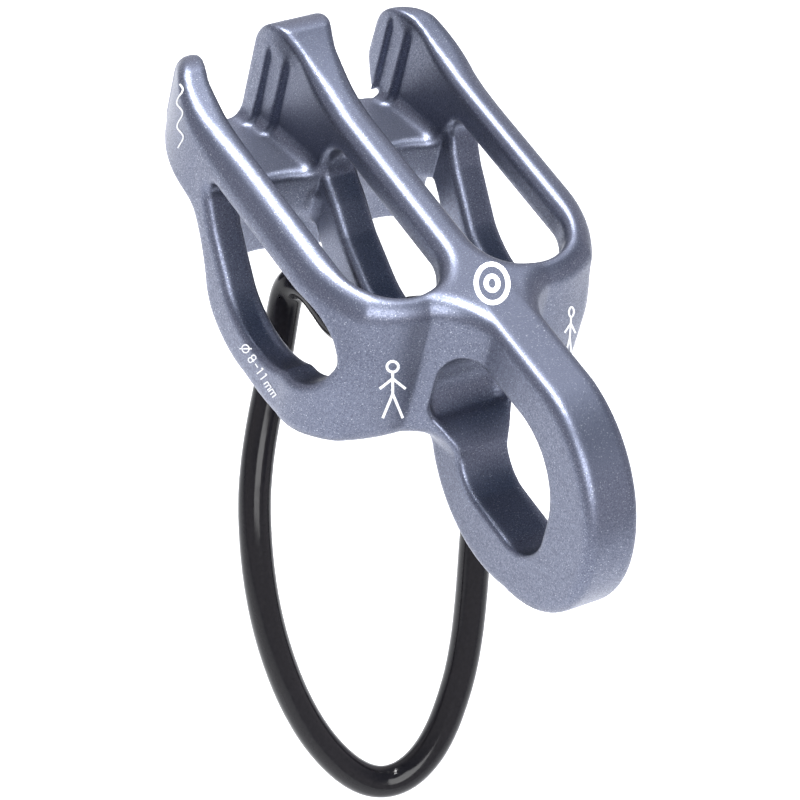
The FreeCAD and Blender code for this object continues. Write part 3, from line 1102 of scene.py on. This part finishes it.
# ------------------------------------------------------------------ keeper loop
@dataclass
class KeeperLoop:
    """The coated wire loop that hangs from the web and keeps the rope in reach."""

    route: Tuple[Point3, ...] = (
        (-3.2, 0.0, 0.0), (-5.2, 0.0, 0.0), (-6.9, 1.0, 0.8), (-7.8, 3.2, 2.6),
        (-8.5, 5.8, 3.6), (-9.1, 8.0, 2.9), (-9.5, 9.1, 0.9), (-10.0, 8.7, -1.6),
        (-11.2, 6.6, -6.0), (-12.7, 4.3, -9.9), (-14.2, 2.3, -13.5), (-15.6, 0.2, -16.9),
        (-16.9, -2.0, -19.8), (-18.0, -4.5, -23.4), (-18.8, -7.7, -27.7),
        (-19.1, -10.8, -32.2), (-18.8, -13.9, -37.1), (-17.9, -17.2, -42.2),
        (-16.3, -20.6, -47.5), (-13.7, -24.5, -52.9), (-9.9, -28.2, -57.3),
        (-5.9, -30.4, -59.2), (-1.6, -31.1, -58.1), (2.6, -30.0, -54.0),
        (6.2, -26.9, -47.1), (8.0, -24.1, -41.4), (9.1, -21.4, -36.0),
        (10.2, -17.9, -29.0), (11.6, -14.0, -21.4), (12.0, -11.2, -15.7),
        (12.0, -8.8, -10.4), (11.5, -6.2, -5.8), (9.9, -3.3, -2.1), (7.4, -1.0, -0.5),
        (4.8, 0.0, 0.0), (3.2, 0.0, 0.0))
    pivot: Point3 = (0.0, 31.0, -5.8)
    radius: float = 2.25
    length: float = 170.0
    strand_radius: float = 0.40
    strand_circle: float = 0.84
    lay_length: float = 14.0
    strand_gap: float = 3.1

    def points(self) -> np.ndarray:
        """The route's points at rest, in millimetres."""
        return np.array(self.route) + self.pivot

    def spline(self, name: str) -> bpy.types.Object:
        """The route as one smooth curve without thickness.

        Args:
            name: the curve's name.

        Returns:
            The curve, linked to the scene.
        """
        curve = bpy.data.curves.new(name, "CURVE")
        curve.dimensions = "3D"
        curve.resolution_u = 16
        line = curve.splines.new("NURBS")
        points = self.points() * MILLIMETRE
        line.points.add(len(points) - 1)
        for point, place in zip(line.points, points):
            point.co = (*place, 1.0)
        line.order_u = 3
        line.use_endpoint_u = True
        made = bpy.data.objects.new(name, curve)
        bpy.context.scene.collection.objects.link(made)
        return made

    def coating(self) -> bpy.types.Object:
        """The plastic coating as a round curve.

        Returns:
            The coating.
        """
        made = self.spline("keeper_sleeve")
        made.data.bevel_depth = self.radius * MILLIMETRE
        made.data.bevel_resolution = 7
        made.data.use_fill_caps = True
        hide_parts("keeper_coating")
        dress(made, GlossyCoating().material(), Body.KEEPER)
        return made

    def centreline(self) -> np.ndarray:
        """Points along the smooth curve, read from the spline itself.

        Returns:
            The points in millimetres, one a row.
        """
        made = self.spline("keeper_route")
        bpy.context.view_layer.update()
        mesh = bpy.data.meshes.new_from_object(made)
        line = np.array([v.co for v in mesh.vertices]) / MILLIMETRE
        bpy.data.objects.remove(made)
        bpy.data.meshes.remove(mesh)
        return line

    @staticmethod
    def frame_along(line: np.ndarray) -> Tuple[np.ndarray, np.ndarray]:
        """Two directions across a line that turn along with it.

        Args:
            line: points along it, one a row.

        Returns:
            The directions across and aside at each point.
        """
        heading = np.gradient(line, axis=0)
        heading /= np.linalg.norm(heading, axis=1)[:, None]
        aside = np.zeros_like(line)
        now = np.array([0.0, 0.0, 1.0])
        for row, ahead in enumerate(heading):
            now = now - ahead * (now @ ahead)
            now = now / np.linalg.norm(now)
            aside[row] = now
        return np.cross(heading, aside), aside

    def strands(self) -> List[bpy.types.Object]:
        """The core strand and six strands laid around it in a helix.

        Returns:
            The seven strands.
        """
        line = self.centreline()
        across, aside = self.frame_along(line)
        along = np.concatenate([[0], np.cumsum(np.linalg.norm(np.diff(line, axis=0),
                                                              axis=1))])
        finish = DrawnSteel("galvanised_wire").material()
        made = [self._strand("core_wire", line, across, aside, finish, "core_strand")]
        for number in range(6):
            turn = 2 * math.pi * (along / self.lay_length + number / 6)
            path = (line + self.strand_circle * (np.cos(turn)[:, None] * across
                                                 + np.sin(turn)[:, None] * aside))
            made.append(self._strand(f"laid_wire_{number + 1}", path, across, aside,
                                     finish, f"outer_strand_{number + 1}"))
        return made

    def _strand(self, name: str, path: np.ndarray, across: np.ndarray,
                aside: np.ndarray, finish: bpy.types.Material,
                node: str) -> bpy.types.Object:
        """One steel strand as a round rod along a path.

        Args:
            name: the piece's name.
            path: its middle line.
            across: one direction across the loop's line at each point.
            aside: the other direction across it.
            finish: its material.
            node: the CAD node it stands for.

        Returns:
            The strand.
        """
        sides = 8
        rings = []
        for number in range(sides):
            turn = 2 * math.pi * number / sides
            rings.append(path + self.strand_radius * (math.cos(turn) * across
                                                      + math.sin(turn) * aside))
        points = np.stack(rings, 1).reshape(-1, 3)
        faces: List[List[int]] = []
        for ring in range(len(path) - 1):
            for side in range(sides):
                a, b = ring * sides + side, ring * sides + (side + 1) % sides
                faces.append([a, b, b + sides, a + sides])
        last = (len(path) - 1) * sides
        faces += [list(range(sides))[::-1], list(range(last, last + sides))]
        made = mesh_object(name, points, faces)
        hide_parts(node)
        dress(made, finish, Body.KEEPER)
        return made

    def build(self) -> None:
        coating = self.coating()
        strands = self.strands()
        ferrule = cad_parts["splice_ferrule"]
        finish = DrawnSteel("swaged_ferrule", scuff_size=0.6).material()
        ferrule.data.materials.clear()
        ferrule.data.materials.append(finish)
        log.info("splice_ferrule: %s on its CAD node", finish.name)


# ------------------------------------------------------------------ studio
@dataclass
class Studio:
    """Floor, soft lights, pale surroundings and camera."""

    camera_place: Point3 = (-226.54, -230.88, 313.26)
    camera_azimuth: float = 41.64
    camera_elevation: float = 43.83
    camera_roll: float = 15.11
    lens: float = 161.8
    floor_height: float = -190.0
    floor_half: float = 3000.0
    walls: Tuple[float, Colour] = (0.3, (1.0, 0.97, 1.03, 1.0))
    ceiling: Tuple[float, Colour] = (0.78, (0.10, 0.15, 0.23, 1.0))

    def camera(self) -> None:
        """Aim the camera: azimuth from +Y towards +X, then down, then rolled."""
        data = bpy.data.cameras.new("camera")
        data.lens = self.lens
        data.clip_start, data.clip_end = 0.01, 10.0
        made = bpy.data.objects.new("camera", data)
        bpy.context.scene.collection.objects.link(made)
        azimuth, elevation = map(math.radians, (self.camera_azimuth,
                                                self.camera_elevation))
        ahead = Vector((math.sin(azimuth) * math.cos(elevation),
                        math.cos(azimuth) * math.cos(elevation), -math.sin(elevation)))
        level = ahead.to_track_quat("-Z", "Y").to_matrix()
        turn = Matrix.Rotation(math.radians(self.camera_roll), 3, "Z")
        made.matrix_world = (Matrix.Translation(Vector(self.camera_place) * MILLIMETRE)
                             @ (level @ turn).to_4x4())
        bpy.context.scene.camera = made

    def floor(self) -> None:
        """A plain pale floor, well below the hanging loop."""
        half, low = self.floor_half, self.floor_height
        made = mesh_object("floor", np.array([(-half, -half, low), (half, -half, low),
                                              (half, half, low), (-half, half, low)]),
                           [[0, 1, 2, 3]], smooth=False)
        made.data.materials.append(PaleBoard().material())

    def surroundings(self) -> None:
        """Pale walls that grow dimmer and cooler overhead."""
        world = bpy.data.worlds.new("surroundings")
        world.use_nodes = True
        bpy.context.scene.world = world
        tree = world.node_tree
        place = tree.nodes.new("ShaderNodeTexCoord")
        parts = tree.nodes.new("ShaderNodeSeparateXYZ")
        ramp = tree.nodes.new("ShaderNodeValToRGB")
        for stop, chosen in zip(ramp.color_ramp.elements, (self.walls, self.ceiling)):
            stop.position, stop.color = chosen
        sky = tree.nodes["Background"]
        tree.links.new(place.outputs["Generated"], parts.inputs[0])
        tree.links.new(parts.outputs["Z"], ramp.inputs[0])
        tree.links.new(ramp.outputs[0], sky.inputs["Color"])
        sky.inputs["Strength"].default_value = 1.0

    def light(self, name: str, place: Point3, aim: Point3, size: Point2, power: float,
              tint: Point3 = (1.0, 1.0, 1.0)) -> None:
        """Hang one soft panel light.

        Args:
            name: its name.
            place: where it hangs, in millimetres.
            aim: the point it faces, in millimetres.
            size: its width and height, in millimetres.
            power: its power in watts.
            tint: its colour.
        """
        data = bpy.data.lights.new(name, "AREA")
        data.shape = "RECTANGLE"
        data.size, data.size_y = (side * MILLIMETRE for side in size)
        data.energy = power
        data.color = tint
        made = bpy.data.objects.new(name, data)
        bpy.context.scene.collection.objects.link(made)
        made.location = Vector(place) * MILLIMETRE
        facing = Vector(aim) - Vector(place)
        made.rotation_euler = facing.to_track_quat("-Z", "Y").to_euler()

    def build(self) -> None:
        """Set the whole studio up."""
        self.camera()
        self.floor()
        self.surroundings()
        middle = (0.0, 25.0, 0.0)
        self.light("overhead_panel", (0.0, 260.0, 620.0), middle, (110.0, 500.0), 12.0)
        self.light("floor_wash", (-300.0, -900.0, 900.0), (0.0, 0.0, self.floor_height),
                   (900.0, 900.0), 22.0)
        bpy.context.scene.view_settings.view_transform = "Standard"


def main() -> None:
    """Build the device and its studio."""
    logging.basicConfig(level=logging.INFO, format="%(name)s: %(message)s")
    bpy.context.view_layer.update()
    lay_marks(ForgedBody().build())
    KeeperLoop().build()
    Studio().build()


if __name__ == "__main__":
    main()
